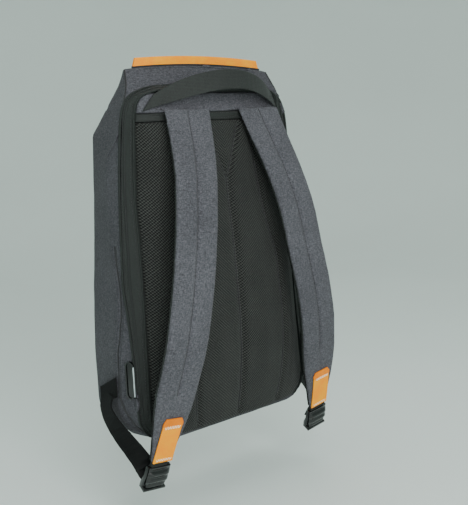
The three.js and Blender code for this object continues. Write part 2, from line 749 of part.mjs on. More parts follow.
function buckleLoop(side) {
  const half = webbingWidth / 2 - gap;
  const { outer, hole } = eye(topBar, half);
  const stem = [
    [-webbingThickness, topBar.z],
    [webbingThickness, topBar.z],
    [webbingThickness, -gap],
    [-webbingThickness, -gap],
  ];
  return toTip(geometryOf(outer.add(solid(prismAlongX(stem, -half, half))).subtract(hole)), side);
}

// Lower webbing from the side seam down to the buckle's lowest bar. x is a share of bagHalfWidth,
// y of bagDepth, fall of the way from anchorHeight down to the last bend, and turn is how far the
// width has turned from the bag's depth towards its width, in quarter turns.
const lowerRows = [
  { x: 1.087, y: 0.51, fall: 0.105, turn: 0 },
  { x: 1.103, y: 0.535, fall: 0.211, turn: 0 },
  { x: 1.112, y: 0.53, fall: 0.347, turn: 0.02 },
  { x: 1.105, y: 0.4, fall: 0.565, turn: 0.12 },
  { x: 1.07, y: 0.17, fall: 0.822, turn: 0.28 },
  { x: 1.035, y: 0.05, fall: 1, turn: 0.45 },
];

function lowerWebbing(side) {
  const { middle, down, across, out } = tipFrame(side);
  const matrix = new THREE.Matrix4().makeBasis(across, out.clone().negate(), down.clone().negate());
  matrix.setPosition(middle);
  const half = webbingWidth / 2 - gap;
  const eyeReach = barRadius + gap + webbingThickness / 2;
  const end = new THREE.Vector3(0, lowBar.y + eyeReach, lowBar.z).applyMatrix4(matrix);
  const rows = lowerRows.map((row) => {
    const angle = row.turn * Math.PI / 2;
    const height = anchorHeight - row.fall * (anchorHeight - webbingLead - end.z);
    return {
      centre: new THREE.Vector3(side * row.x * bagHalfWidth, row.y * bagDepth, height),
      across: new THREE.Vector3(side * -Math.sin(angle), -Math.cos(angle), 0).normalize(),
      half,
      thick: webbingThickness,
    };
  });
  rows.push({ centre: end, across: across.clone().multiplyScalar(-side), half, thick: webbingThickness * 1.2 });
  const points = new THREE.CatmullRomCurve3(rows.map((row) => row.centre), false, 'centripetal');
  const smooth = [];
  const steps = 3 * (rows.length - 1);
  for (let i = 0; i <= steps; i += 1) {
    const t = i / steps;
    const k = Math.min(rows.length - 2, Math.floor(t * (rows.length - 1)));
    const local = t * (rows.length - 1) - k;
    const centre = points.getPoint(t);
    const tangent = points.getTangent(t);
    const acrossHere = rows[k].across.clone().lerp(rows[k + 1].across, local);
    acrossHere.addScaledVector(tangent, -tangent.dot(acrossHere)).normalize();
    smooth.push({
      centre,
      across: acrossHere,
      out: tangent.clone().cross(acrossHere).normalize(),
      half,
      thick: webbingThickness * (i > steps - 4 ? 2 : 1),
    });
  }
  const run = solid(band(smooth, [[-1, 0.5], [1, 0.5], [1, -0.5], [-1, -0.5]]));
  const { outer, hole } = eye(lowBar, half);
  const ring = solid(outward(geometryOf(outer).applyMatrix4(matrix)));
  const bore = solid(outward(geometryOf(hole).applyMatrix4(matrix)));
  return geometryOf(run.add(anchor(side)).add(ring).subtract(bore));
}

// The webbing's first stretch, laid flat on the side from the seam forwards and down to its fold
function anchor(side) {
  const top = anchorHeight + webbingWidth / 2;
  const low = top - webbingWidth;
  const row = bodyRow((top + low) / 2);
  const seamX = row.crease + gap;
  const foldX = lowerRows[1].x * bagHalfWidth + webbingThickness / 2;
  const foldY = lowerRows[1].y * bagDepth + webbingWidth / 2;
  const points = [
    [side * seamX, row.creaseY],
    [side * (seamX + webbingThickness), row.creaseY - 1],
    [side * foldX, foldY - 1],
    [side * (foldX - webbingThickness), foldY],
  ];
  const place = (x, y, z) => new THREE.Vector3(x, y, z - anchorDrop * (y - row.creaseY) / (foldY - row.creaseY));
  return solid(prism(points, place, low, top));
}

// Facets of the body's sides, each given by the two corners it runs between
const zipFacet = [(row) => [row.back, row.backY], (row) => [row.seam, row.seamY]];
const gussetFacet = [(row) => [row.seam, row.seamY], (row) => [row.crease, row.creaseY]];

// Lays a shape drawn in X and Y on a facet, a share of the way across it and lifted off it
function onFacet(geometry, { facet, side, z, reach, share, lift }) {
  const corner = (end, height) => {
    const [x, y] = facet[end](bodyRow(height));
    return new THREE.Vector3(side * x, y, height);
  };
  const place = (height) => corner(0, height).lerp(corner(1, height), share);
  const across = corner(1, z).sub(corner(0, z)).normalize();
  const out = across.clone().cross(place(z + reach).sub(place(z - reach))).normalize();
  if (out.x * side < 0) out.negate();
  const up = out.clone().cross(across);
  const matrix = new THREE.Matrix4().makeBasis(across, up, out);
  matrix.setPosition(place(z).addScaledVector(out, lift));
  return outward(geometry.applyMatrix4(matrix));
}

function oblong(width, height) {
  const shape = new THREE.Shape();
  const r = width / 2;
  const straight = height / 2 - r;
  shape.absarc(0, straight, r, 0, Math.PI, false);
  shape.absarc(0, -straight, r, Math.PI, 2 * Math.PI, false);
  shape.closePath();
  return shape;
}

// Charging port beside the zip's seam, on the left
const portPlace = {
  facet: gussetFacet,
  side: -1,
  z: portBottom + portHeight / 2,
  reach: portHeight / 2,
  share: 0.2,
  lift: 2 * gap,
};

function portFrame() {
  const shape = oblong(portWidth, portHeight);
  shape.holes.push(oblong(portWidth - 2 * portRim, portHeight - 2 * portRim));
  const frame = new THREE.ExtrudeGeometry(shape, { depth: portDepth, bevelEnabled: false, curveSegments: 8 });
  return onFacet(frame, portPlace);
}

function portCover() {
  const inset = 2 * (portRim + gap);
  const shape = oblong(portWidth - inset, portHeight - inset);
  const cover = new THREE.ExtrudeGeometry(shape, { depth: coverDepth, bevelEnabled: false, curveSegments: 8 });
  return onFacet(cover, portPlace);
}

// One plain slider, low on the right side of the zip
function zipSlider() {
  const shape = new THREE.Shape([
    new THREE.Vector2(-sliderWidth / 2, -sliderLength / 2),
    new THREE.Vector2(sliderWidth / 2, -sliderLength / 2),
    new THREE.Vector2(sliderWidth / 2, sliderLength * 0.3),
    new THREE.Vector2(sliderWidth / 4, sliderLength / 2),
    new THREE.Vector2(-sliderWidth / 4, sliderLength / 2),
    new THREE.Vector2(-sliderWidth / 2, sliderLength * 0.3),
  ]);
  const slider = new THREE.ExtrudeGeometry(shape, { depth: sliderThickness, bevelEnabled: false });
  return onFacet(slider, { facet: zipFacet, side: 1, z: sliderHeight, reach: sliderLength / 2, share: 0.5, lift: 3 * gap });
}

const backpack = new THREE.Group();
const grip = new THREE.Vector3(
  0,
  handleSeat - handleStandOff - webbingThickness / 2,
  handleEndHeight + handleRise,
);
backpack.position.copy(grip).negate();

function add(name, geometry, finish) {
  const mesh = new THREE.Mesh(geometry, new THREE.MeshStandardMaterial(materials[finish]));
  mesh.name = name;
  backpack.add(mesh);
}

const skin = outerBody().subtract(innerBody());
add('body_shell', bodyShell(skin), 'fabric');
add('zip_band', zipBand(skin), 'webbing');
add('zip_slider', zipSlider(), 'plastic');
add('back_panel', panelSlab(bottomRim + gap, meshTop - gap), 'mesh');
add('mesh_binding', panelSlab(meshTop, bindingTop - gap), 'webbing');
add('yoke_panel', panelSlab(bindingTop, panelTop), 'fabric');
add('top_trim', topTrim(), 'leather');
add('grab_handle', handle(), 'webbing');
for (const [name, side] of [['left', -1], ['right', 1]]) {
  add(`strap_${name}`, strapFace(side), 'fabric');
  add(`strap_lining_${name}`, strapLining(side), 'mesh');
  add(`strap_tab_${name}`, strapTab(side), 'leather');
  add(`buckle_loop_${name}`, buckleLoop(side), 'webbing');
  add(`ladder_lock_${name}`, ladderLock(side), 'plastic');
  add(`lower_webbing_${name}`, lowerWebbing(side), 'webbing');
}
add('usb_port_frame', portFrame(), 'plastic');
add('usb_port_cover', portCover(), 'plastic');

export default backpack;
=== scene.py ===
"""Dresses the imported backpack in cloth, air mesh, webbing, leather and moulded plastic."""

import math

import bmesh
import bpy
from mathutils import Matrix, Vector
from mathutils.kdtree import KDTree


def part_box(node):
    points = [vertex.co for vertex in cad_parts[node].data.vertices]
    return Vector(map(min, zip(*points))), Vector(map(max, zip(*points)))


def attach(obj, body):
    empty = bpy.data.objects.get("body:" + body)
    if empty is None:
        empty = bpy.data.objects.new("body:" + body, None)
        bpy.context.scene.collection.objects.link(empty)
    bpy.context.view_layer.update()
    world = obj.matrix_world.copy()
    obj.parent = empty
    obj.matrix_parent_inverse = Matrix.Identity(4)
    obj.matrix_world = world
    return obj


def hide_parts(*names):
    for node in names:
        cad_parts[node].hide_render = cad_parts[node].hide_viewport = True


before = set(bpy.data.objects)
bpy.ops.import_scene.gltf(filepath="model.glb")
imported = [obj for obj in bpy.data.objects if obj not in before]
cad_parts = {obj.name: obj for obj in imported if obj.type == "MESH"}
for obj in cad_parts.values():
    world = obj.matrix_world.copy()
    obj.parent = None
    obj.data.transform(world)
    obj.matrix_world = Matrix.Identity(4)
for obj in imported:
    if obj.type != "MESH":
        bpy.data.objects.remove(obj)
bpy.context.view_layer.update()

# Sizes and places are in millimetres unless a name or a comment says otherwise
MM = 0.001
SIDES = (("left", -1), ("right", 1))
INWARD = Vector((0, 1, 0))  # from outside the back straight towards the bag's front
RIDGE_SETBACK = 42  # how far the ridge lies in front of the bag's back datum

# The bag's own datum: the bottom of its back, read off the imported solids
trim_low, trim_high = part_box("top_trim")
body_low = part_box("body_shell")[0]
bag_datum = Vector((0, (trim_low[1] + trim_high[1]) / 2 - RIDGE_SETBACK * MM, body_low[2]))


def bag(x, y, z):
    """A point given from the bag's datum"""
    return bag_datum + Vector((x, y, z)) * MM


# ---- Finishes ----

SOCKETS = {
    "roughness": "Roughness",
    "sheen": "Sheen Weight",
    "sheen_roughness": "Sheen Roughness",
    "coat": "Coat Weight",
    "coat_roughness": "Coat Roughness",
    "specular": "Specular IOR Level",
}


def linear(colour):
    """An sRGB hex colour as linear red, green, blue and alpha"""
    def channel(value):
        value /= 255
        return value / 12.92 if value <= 0.04045 else ((value + 0.055) / 1.055) ** 2.4
    return tuple(channel(int(colour[i:i + 2], 16)) for i in (1, 3, 5)) + (1.0,)


def set_stops(ramp, stops):
    """Gives a colour ramp its stops, each a position and an sRGB hex colour"""
    while len(ramp.elements) < len(stops):
        ramp.elements.new(0.5)
    for element, (position, colour) in zip(ramp.elements, stops):
        element.position = position
        element.color = linear(colour)


def add(tree, kind, settings=None, links=None):
    """Adds a node with its settings, such as a ramp's stops, and its incoming links"""
    node = tree.nodes.new(kind)
    for key, value in (settings or {}).items():
        if key == "stops":
            set_stops(node.color_ramp, value)
        elif isinstance(key, int) or key in node.inputs:
            node.inputs[key].default_value = value
        else:
            setattr(node, key, value)
    for key, (source, output) in (links or {}).items():
        tree.links.new(source.outputs[output], node.inputs[key])
    return node


def finish_named(name, **constants):
    """A material with constants on its shader's own sockets, and its Object coordinates"""
    material = bpy.data.materials.new(name)
    material.use_nodes = True
    tree = material.node_tree
    shader = tree.nodes["Principled BSDF"]
    for key, value in constants.items():
        shader.inputs[SOCKETS[key]].default_value = value
    place = add(tree, "ShaderNodeTexCoord")
    return material, tree, shader, place


def bands(spacing_mm):
    """Scale of a wave texture whose bands lie this far apart"""
    return math.pi / 10 / (spacing_mm * MM)


def spots(size_mm):
    """Scale of a noise or cell texture with features of this size"""
    return 1 / (size_mm * MM)


def heathered_cloth(name, dark, middle, light):
    """Polyester yarn-dyed in two greys: pale flecks along both threads over a slow mottle"""
    material, tree, shader, place = finish_named(name, roughness=0.9, sheen=0.06, sheen_roughness=0.5,
                                                 specular=0.15)
    # Threads lie about 0.5 mm apart and are drawn at 1 mm, so that they show
    thread = {"Scale": spots(1.0), "Detail": 2.0}
    across = add(tree, "ShaderNodeMapping", {"Scale": (0.3, 0.3, 1)}, {"Vector": (place, "Object")})
    upward = add(tree, "ShaderNodeMapping", {"Scale": (1, 1, 0.3)}, {"Vector": (place, "Object")})
    weft = add(tree, "ShaderNodeTexNoise", thread, {"Vector": (across, "Vector")})
    warp = add(tree, "ShaderNodeTexNoise", thread, {"Vector": (upward, "Vector")})
    slow = add(tree, "ShaderNodeTexNoise", {"Scale": spots(70), "Detail": 3.0},
               {"Vector": (place, "Object")})
    threads = add(tree, "ShaderNodeMath", {"operation": "ADD"}, {0: (weft, "Fac"), 1: (warp, "Fac")})
    mottle = add(tree, "ShaderNodeMath", {"operation": "MULTIPLY_ADD", 1: 0.3},
                 {0: (slow, "Fac"), 2: (threads, "Value")})
    # Brings the three patterns' sum back to about a half
    halved = add(tree, "ShaderNodeMath", {"operation": "MULTIPLY", 1: 0.435}, {0: (mottle, "Value")})
    colour = add(tree, "ShaderNodeValToRGB", {"stops": [(0.38, dark), (0.5, middle), (0.63, light)]},
                 {"Fac": (halved, "Value")})
    tree.links.new(colour.outputs["Color"], shader.inputs["Base Color"])
    rough = add(tree, "ShaderNodeMapRange", {"To Min": 0.8, "To Max": 0.95}, {"Value": (halved, "Value")})
    tree.links.new(rough.outputs["Result"], shader.inputs["Roughness"])
    bump = add(tree, "ShaderNodeBump", {"Strength": 0.35, "Distance": 0.5 * MM},
               {"Height": (threads, "Value")})
    tree.links.new(bump.outputs["Normal"], shader.inputs["Normal"])
    return material


def air_mesh(name, hole, thread, light, pitch_mm, fold_mm):
    """Knitted spacer mesh: rows of dark staggered holes that slant, and turn back at each fold"""
    material, tree, shader, place = finish_named(name, roughness=0.8, sheen=0.04, sheen_roughness=0.6,
                                                 specular=0.2)
    parts = add(tree, "ShaderNodeSeparateXYZ", links={"Vector": (place, "Object")})
    folded = add(tree, "ShaderNodeMath", {"operation": "PINGPONG", 1: fold_mm * MM}, {0: (parts, "X")})
    slanted = add(tree, "ShaderNodeMath", {"operation": "MULTIPLY_ADD", 1: 0.25},
                  {0: (folded, "Value"), 2: (parts, "Z")})
    flat = add(tree, "ShaderNodeCombineXYZ", links={"X": (folded, "Value"), "Y": (slanted, "Value")})
    turned = add(tree, "ShaderNodeMapping", {"Rotation": (0, 0, math.radians(45)), "Scale": (1.1, 0.95, 1)},
                 {"Vector": (flat, "Vector")})
    cells = add(tree, "ShaderNodeTexVoronoi",
                {"voronoi_dimensions": "2D", "Scale": spots(pitch_mm / math.sqrt(2)), "Randomness": 0.1},
                {"Vector": (turned, "Vector")})
    slow = add(tree, "ShaderNodeTexNoise", {"Scale": spots(40), "Detail": 2.0},
               {"Vector": (place, "Object")})
    worn = add(tree, "ShaderNodeMath", {"operation": "MULTIPLY_ADD", 1: 0.1},
               {0: (slow, "Fac"), 2: (cells, "Distance")})
    colour = add(tree, "ShaderNodeValToRGB", {"stops": [(0.33, hole), (0.46, thread), (0.7, light)]},
                 {"Fac": (worn, "Value")})
    tree.links.new(colour.outputs["Color"], shader.inputs["Base Color"])
    bump = add(tree, "ShaderNodeBump", {"Strength": 0.8, "Distance": 1.2 * MM},
               {"Height": (cells, "Distance")})
    tree.links.new(bump.outputs["Normal"], shader.inputs["Normal"])
    return material


def ribbed_webbing(name, dark, light, rib_mm, roughness=0.62):
    """Polyamide webbing woven in fine level ribs, with a little sheen on the crowns"""
    material, tree, shader, place = finish_named(name, roughness=roughness, sheen=0.04,
                                                 sheen_roughness=0.4, specular=0.15)
    ribs = add(tree, "ShaderNodeTexWave",
               {"bands_direction": "Z", "Scale": bands(rib_mm), "Distortion": 0.6, "Detail": 1.0},
               {"Vector": (place, "Object")})
    fibre = add(tree, "ShaderNodeTexNoise", {"Scale": spots(1.6), "Detail": 3.0},
                {"Vector": (place, "Object")})
    both = add(tree, "ShaderNodeMath", {"operation": "MULTIPLY_ADD", 1: 0.5},
               {0: (ribs, "Fac"), 2: (fibre, "Fac")})
    colour = add(tree, "ShaderNodeValToRGB", {"stops": [(0.35, dark), (0.95, light)]},
                 {"Fac": (both, "Value")})
    tree.links.new(colour.outputs["Color"], shader.inputs["Base Color"])
    bump = add(tree, "ShaderNodeBump", {"Strength": 0.55, "Distance": 0.5 * MM},
               {"Height": (both, "Value")})
    tree.links.new(bump.outputs["Normal"], shader.inputs["Normal"])
    return material


def finished_leather(name, dark, middle, light):
    """Pigmented cow leather: fine cells in the grain, a waxy gloss and slow colour changes"""
    material, tree, shader, place = finish_named(name, roughness=0.55, specular=0.15)
    grain = add(tree, "ShaderNodeTexVoronoi", {"Scale": spots(1.3)}, {"Vector": (place, "Object")})
    slow = add(tree, "ShaderNodeTexNoise", {"Scale": spots(22), "Detail": 3.0},
               {"Vector": (place, "Object")})
    both = add(tree, "ShaderNodeMath", {"operation": "MULTIPLY_ADD", 1: -0.18},
               {0: (grain, "Distance"), 2: (slow, "Fac")})
    colour = add(tree, "ShaderNodeValToRGB", {"stops": [(0.22, dark), (0.42, middle), (0.62, light)]},
                 {"Fac": (both, "Value")})
    tree.links.new(colour.outputs["Color"], shader.inputs["Base Color"])
    bump = add(tree, "ShaderNodeBump", {"Strength": 0.25, "Distance": 0.4 * MM},
               {"Height": (grain, "Distance")})
    tree.links.new(bump.outputs["Normal"], shader.inputs["Normal"])
    return material


def moulded_plastic(name, dark, light):
    """Acetal from a finely sparked mould: half gloss, faintly pebbled. In pale grey it serves as a painted
    highlight
    """
    material, tree, shader, place = finish_named(name, roughness=0.22, coat=0.3, coat_roughness=0.1)
    pebble = add(tree, "ShaderNodeTexNoise", {"Scale": spots(0.9), "Detail": 2.0},
                 {"Vector": (place, "Object")})
    slow = add(tree, "ShaderNodeTexNoise", {"Scale": spots(9), "Detail": 2.0},
               {"Vector": (place, "Object")})
    colour = add(tree, "ShaderNodeValToRGB", {"stops": [(0.35, dark), (0.7, light)]},
                 {"Fac": (slow, "Fac")})
    tree.links.new(colour.outputs["Color"], shader.inputs["Base Color"])
    rough = add(tree, "ShaderNodeMapRange", {"To Min": 0.16, "To Max": 0.28}, {"Value": (slow, "Fac")})
    tree.links.new(rough.outputs["Result"], shader.inputs["Roughness"])
    bump = add(tree, "ShaderNodeBump", {"Strength": 0.12, "Distance": 0.3 * MM},
               {"Height": (pebble, "Fac")})
    tree.links.new(bump.outputs["Normal"], shader.inputs["Normal"])
    return material


def twisted_thread(name, dark, light):
    """Bonded polyester thread, its plies showing as a fine twist"""
    material, tree, shader, place = finish_named(name, roughness=0.6, sheen=0.2, sheen_roughness=0.4)
    plies = add(tree, "ShaderNodeTexWave", {"bands_direction": "DIAGONAL", "Scale": bands(0.7)},
                {"Vector": (place, "Object")})
    colour = add(tree, "ShaderNodeValToRGB", {"stops": [(0.2, dark), (0.8, light)]},
                 {"Fac": (plies, "Fac")})
    tree.links.new(colour.outputs["Color"], shader.inputs["Base Color"])
    bump = add(tree, "ShaderNodeBump", {"Strength": 0.4, "Distance": 0.2 * MM},
               {"Height": (plies, "Fac")})
    tree.links.new(bump.outputs["Normal"], shader.inputs["Normal"])
    return material


def matt_paper(name, dark, light):
    """Seamless studio paper in pale grey-green, matt, with the slowest change of tone"""
    material, tree, shader, place = finish_named(name, roughness=0.95, specular=0.1)
    tone = add(tree, "ShaderNodeTexNoise", {"Scale": spots(714), "Detail": 3.0},
               {"Vector": (place, "Object")})
    colour = add(tree, "ShaderNodeValToRGB", {"stops": [(0.3, dark), (0.7, light)]},
                 {"Fac": (tone, "Fac")})
    tree.links.new(colour.outputs["Color"], shader.inputs["Base Color"])
    return material


body_cloth = heathered_cloth("yarn_dyed_polyester", "#333337", "#434348", "#58585D")
strap_cloth = heathered_cloth("yarn_dyed_polyester_strap", "#3A3A3F", "#4B4B50", "#616167")
edge_cloth = heathered_cloth("cloth_welt", "#242428", "#343438", "#48484D")
dark_tape = ribbed_webbing("coated_zip_tape", "#1D201F", "#2C302E", rib_mm=0.8, roughness=0.55)
handle_webbing = ribbed_webbing("polyamide_webbing_lengthwise", "#202222", "#313432", rib_mm=1.6)
lower_webbing = ribbed_webbing("polyamide_webbing_crosswise", "#050606", "#0F1010", rib_mm=1.5)
back_mesh = air_mesh("knitted_spacer_mesh", "#020202", "#262827", "#464844", pitch_mm=3.5, fold_mm=70)
strap_mesh = air_mesh("knitted_strap_mesh", "#020202", "#121312", "#242624", pitch_mm=3.0, fold_mm=30)
tan_leather = finished_leather("pigmented_tan_leather", "#FF9200", "#FF9E00", "#FFAC08")
folded_leather = finished_leather("folded_tan_leather", "#DE7605", "#EC820A", "#F68F14")
black_plastic = moulded_plastic("sparked_acetal", "#060707", "#101212")
# Pale grey for a painted highlight: the lit edge of the charging port's glossy rim
painted_highlight_grey = moulded_plastic("painted_highlight_grey", "#9AA8A8", "#B9C6C6")
cream_thread = twisted_thread("cream_thread", "#F2E2BC", "#FFF6DC")
dark_thread = twisted_thread("charcoal_thread", "#0C0C0E", "#18181B")


# ---- Making and finishing meshes ----

def only(piece):
    """Selects one piece alone and makes it active"""
    bpy.ops.object.select_all(action="DESELECT")
    piece.select_set(True)
    bpy.context.view_layer.objects.active = piece


def modify(piece, kind, **settings):
    """Adds a modifier, sets it and applies it"""
    modifier = piece.modifiers.new(kind.lower(), kind)
    for key, value in settings.items():
        setattr(modifier, key, value)
    only(piece)
    bpy.ops.object.modifier_apply(modifier=modifier.name)


def smooth_faces(piece, degrees=40):
    """Smooth shading that stops at edges sharper than this"""
    only(piece)
    bpy.ops.object.shade_smooth_by_angle(angle=math.radians(degrees))


def cad_copy(name, node):
    """A new piece from a copy of a CAD node's mesh, its loose triangles merged"""
    piece = bpy.data.objects.new(name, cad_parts[node].data.copy())
    piece.data.materials.clear()
    bpy.context.scene.collection.objects.link(piece)
    only(piece)
    bpy.ops.object.mode_set(mode="EDIT")
    bpy.ops.mesh.select_all(action="SELECT")
    bpy.ops.mesh.remove_doubles(threshold=0.01 * MM)
    bpy.ops.mesh.tris_convert_to_quads()
    bpy.ops.object.mode_set(mode="OBJECT")
    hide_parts(node)
    return piece


def dress(piece, material):
    """Gives a piece its finish and fixes it to the bag's root body"""
    piece.data.materials.clear()
    piece.data.materials.append(material)
    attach(piece, "root")
    return piece


def ripple(piece, size_mm, depth_mm):
    """Slow swells and hollows, as cloth has over foam"""
    cloud = bpy.data.textures.new(f"{piece.name}_{size_mm}", "CLOUDS")
    cloud.noise_scale = size_mm * MM
    cloud.noise_depth = 1
    modify(piece, "DISPLACE", texture=cloud, texture_coords="LOCAL", strength=depth_mm * MM, mid_level=0.5)


def soft_piece(name, node, material, voxel_mm, rounds, swell=None):
    """A CAD solid remeshed fine, its facets and edges rounded off in rounds of smoothing"""
    piece = cad_copy(name, node)
    modify(piece, "REMESH", mode="VOXEL", voxel_size=voxel_mm * MM)
    modify(piece, "SMOOTH", factor=0.5, iterations=rounds)
    if swell:
        ripple(piece, *swell)
    only(piece)
    bpy.ops.object.shade_smooth()
    return dress(piece, material)


def hard_piece(name, node, material, bevel_mm):
    """A CAD solid with its edges rounded as the mould or the knife leaves them"""
    piece = cad_copy(name, node)
    modify(piece, "BEVEL", width=bevel_mm * MM, segments=2, limit_method="ANGLE",
           angle_limit=math.radians(35))
    smooth_faces(piece)
    return dress(piece, material)


PATH_STEPS = 12  # pieces of curve between two of a path's given points


def spaced(points, step_mm):
    """The path through points, rounded through its corners, as points a step apart"""
    count = len(points)
    fine = []
    for i in range(count - 1):
        near = [points[min(max(i + k, 0), count - 1)] for k in (-1, 0, 1, 2)]
        for k in range(PATH_STEPS):
            t = k / PATH_STEPS
            fine.append(0.5 * (2 * near[1] + (near[2] - near[0]) * t
                               + (2 * near[0] - 5 * near[1] + 4 * near[2] - near[3]) * t ** 2
                               + (3 * near[1] - near[0] - 3 * near[2] + near[3]) * t ** 3))
    fine.append(points[-1].copy())
    step = step_mm * MM
    out, travelled = [fine[0]], 0.0
    for a, b in zip(fine, fine[1:]):
        length = (b - a).length
        while length > 0 and travelled + length >= step:
            share = (step - travelled) / length
            a = a.lerp(b, share)
            out.append(a.copy())
            length = (b - a).length
            travelled = 0.0
        travelled += length
    return out


def seated(target, points, lift_mm=0.0, toward=None):
    """Points moved onto a piece's surface and off it by a lift, with the surface's directions"""
    found = []
    for point in points:
        if toward:
            _, place, normal, _ = target.ray_cast(point, toward)
        else:
            _, place, normal, _ = target.closest_point_on_mesh(point)
        found.append((place + normal * lift_mm * MM, normal))
    return found


SEAM_REACHES = 3  # past this many reaches from a seam, sewing moves nothing


def sew_in(piece, lines, depth_mm, reach_mm, toward=None):
    """Draws a soft piece's surface in along its sewn lines"""
    seams = [place for line in lines for place, _ in seated(piece, spaced(line, 1), toward=toward)]
    tree = KDTree(len(seams))
    for i, place in enumerate(seams):
        tree.insert(place, i)
    tree.balance()
    normals = [vertex.normal.copy() for vertex in piece.data.vertices]
    for vertex, normal in zip(piece.data.vertices, normals):
        reaches = tree.find(vertex.co)[2] / (reach_mm * MM)
        if reaches < SEAM_REACHES:
            vertex.co -= normal * depth_mm * MM * math.exp(-reaches * reaches)
    piece.data.update()


def welt(name, target, points, material, radius_mm, lift_mm=0.0, step_mm=4, toward=None):
    """A round edging or line of thread laid along a path, on a piece or as the path runs"""
    path = spaced(points, step_mm)
    places = [place for place, _ in seated(target, path, lift_mm, toward)] if target else path
    curve = bpy.data.curves.new(name, "CURVE")
    curve.dimensions = "3D"
    curve.bevel_depth = radius_mm * MM
    curve.bevel_resolution = 2
    curve.use_fill_caps = True
    spline = curve.splines.new("POLY")
    spline.points.add(len(places) - 1)
    for point, place in zip(spline.points, places):
        point.co = (*place, 1)
    piece = bpy.data.objects.new(name, curve)
    bpy.context.scene.collection.objects.link(piece)
    only(piece)
    bpy.ops.object.convert(target="MESH")
    piece = bpy.context.view_layer.objects.active
    bpy.ops.object.shade_smooth()
    return dress(piece, material)


def one_stitch(length_mm, radius_mm):
    """A short round bar with tapered ends, lying along X"""
    bpy.ops.object.select_all(action="DESELECT")
    bpy.ops.mesh.primitive_cylinder_add(vertices=6, radius=radius_mm * MM, depth=length_mm * MM)
    bar = bpy.context.view_layer.objects.active
    bpy.ops.object.mode_set(mode="EDIT")
    bpy.ops.mesh.select_all(action="SELECT")
    bpy.ops.mesh.bevel(offset=radius_mm * 0.45 * MM, segments=1, affect="EDGES")
    bpy.ops.object.mode_set(mode="OBJECT")
    mesh = bar.data.copy()
    mesh.transform(Matrix.Rotation(math.radians(90), 4, "Y"))
    bpy.data.objects.remove(bar)
    return mesh


def stitches(name, target, points, pitch_mm, length_mm, radius_mm, lift_mm=0.1, toward=None):
    """One row of dark stitches on a piece, each its own bar of thread"""
    template = one_stitch(length_mm, radius_mm)
    places = seated(target, spaced(points, pitch_mm), lift_mm, toward)
    row = bmesh.new()
    for i, (place, normal) in enumerate(places):
        ahead = places[min(i + 1, len(places) - 1)][0] - places[max(i - 1, 0)][0]
        along = (ahead - normal * ahead.dot(normal)).normalized()
        side = normal.cross(along)
        turn = Matrix((along, side, normal)).transposed().to_4x4()
        mesh = template.copy()
        mesh.transform(Matrix.Translation(place) @ turn)
        row.from_mesh(mesh)
        bpy.data.meshes.remove(mesh)
    made = bpy.data.meshes.new(name)
    row.to_mesh(made)
    row.free()
    piece = bpy.data.objects.new(name, made)
    bpy.context.scene.collection.objects.link(piece)
    smooth_faces(piece, 50)
    return dress(piece, dark_thread)


def side_line(rows, side):
    """Points of a table of half widths, depths and heights, on one side of the bag"""
    return [bag(side * x, y, z) for x, y, z in rows]


# ---- Body cloth ----

# The body's seams: half width, depth and height, each seam from the bottom up
GUSSET = [
    (151, 41.6, 56), (151, 41, 85), (150.5, 39.5, 109), (148.6, 35.5, 133), (146.5, 32.5, 164),
    (145, 35, 191), (143, 43, 240),
]
CORNER_SEAM = [(150.6, 41, 56), (149, 36, 45), (144.5, 29, 32), (138.5, 22, 19), (132, 16, 10)]
FLAP_EDGE = [(134.6, 27.6, 376), (127.2, 28.2, 402), (119.1, 31.5, 424), (113, 41, 443)]
FRONT_EDGE = [
    (129, 93, 12), (134, 103, 24), (138, 105, 40), (138.5, 105, 109), (137, 104.5, 164),
    (134, 103.5, 220), (130, 101.5, 289), (125.5, 99, 366), (120, 76, 400),
]

# The zip band's outer and inner edges, from the bottom up one side and over half the arch
SEAM = [
    (127, 14, 8), (133, 14, 14), (139, 14, 24), (142, 14, 38), (143, 16.7, 109),
    (143, 19.5, 133), (143, 23.5, 164), (143, 28, 191), (142, 28, 240), (140.4, 28, 289), (137.3, 27.5, 340),
    (134.7, 27, 369), (132.2, 27, 387), (127, 27.5, 402), (122.5, 28, 408), (116, 28, 413), (107, 28, 417),
    (96, 28, 420.5), (78, 28, 423), (40, 28, 424.3),
]
INNER = [
    (116.5, 5.2, 8), (122.5, 5.5, 14), (128.3, 5.8, 24), (131, 6, 38), (127.7, 11, 109),
    (126.8, 12.5, 133), (125.8, 13.8, 164), (125, 14.8, 191), (124.1, 17.5, 240), (123.5, 21.4, 289),
    (121, 22.3, 340), (118.2, 23.5, 369), (116.6, 23.8, 387), (114, 22.1, 402), (110.8, 20, 408),
    (105, 17.3, 413), (95, 14.3, 416), (84, 12, 418), (40, 12, 418),
]
RIM_MARGIN = 0.5
CLOTH_THICKNESS = 2.6


def seam_half(height):
    """Half width of the zip's outer seam at a height of the bag"""
    for (x0, _, z0), (x1, _, z1) in zip(SEAM, SEAM[1:]):
        if z0 <= height <= z1:
            return x0 + (x1 - x0) * (height - z0) / (z1 - z0)
    return 0


